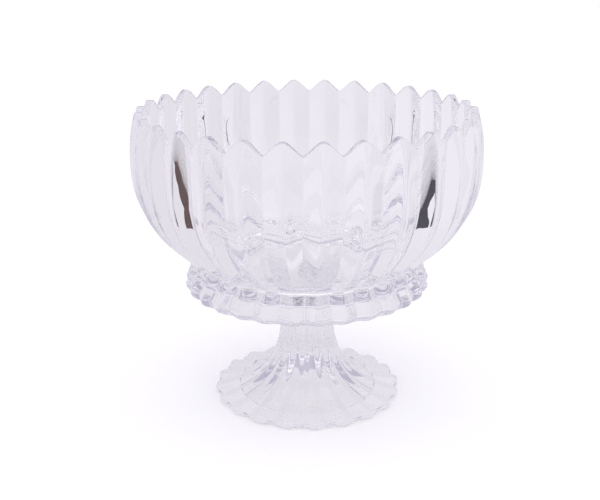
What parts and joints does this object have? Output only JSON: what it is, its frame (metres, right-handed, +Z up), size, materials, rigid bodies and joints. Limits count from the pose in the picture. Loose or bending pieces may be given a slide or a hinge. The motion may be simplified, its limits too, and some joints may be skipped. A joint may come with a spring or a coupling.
{
  "type": "footed fruit bowl",
  "caption": "Footed pressed-glass fruit bowl: round petalled bowl with a scalloped rim and a fluted skirt below its floor, on a stem that flares into a lobed hollow foot.",
  "frame": {"origin": "on the table, at the centre of the foot's underside", "axes": "+Z up along the axis of the stem and bowl; -Y is the front, where a groove of the bowl faces; the petal 6 degrees from it towards +X stands over a lobe of the foot"},
  "size_m": [0.2416, 0.2402, 0.2117],
  "materials": {
    "pressed_glass": "fire-polished pressed glass with a faint lilac tint",
    "joining_glass": "clear glass melted between the two pressings"
  },
  "bodies": {
    "root": {"bowl": "pressed_glass", "pedestal": "pressed_glass", "joining_wafer": "joining_glass"}
  },
  "joints": []
}
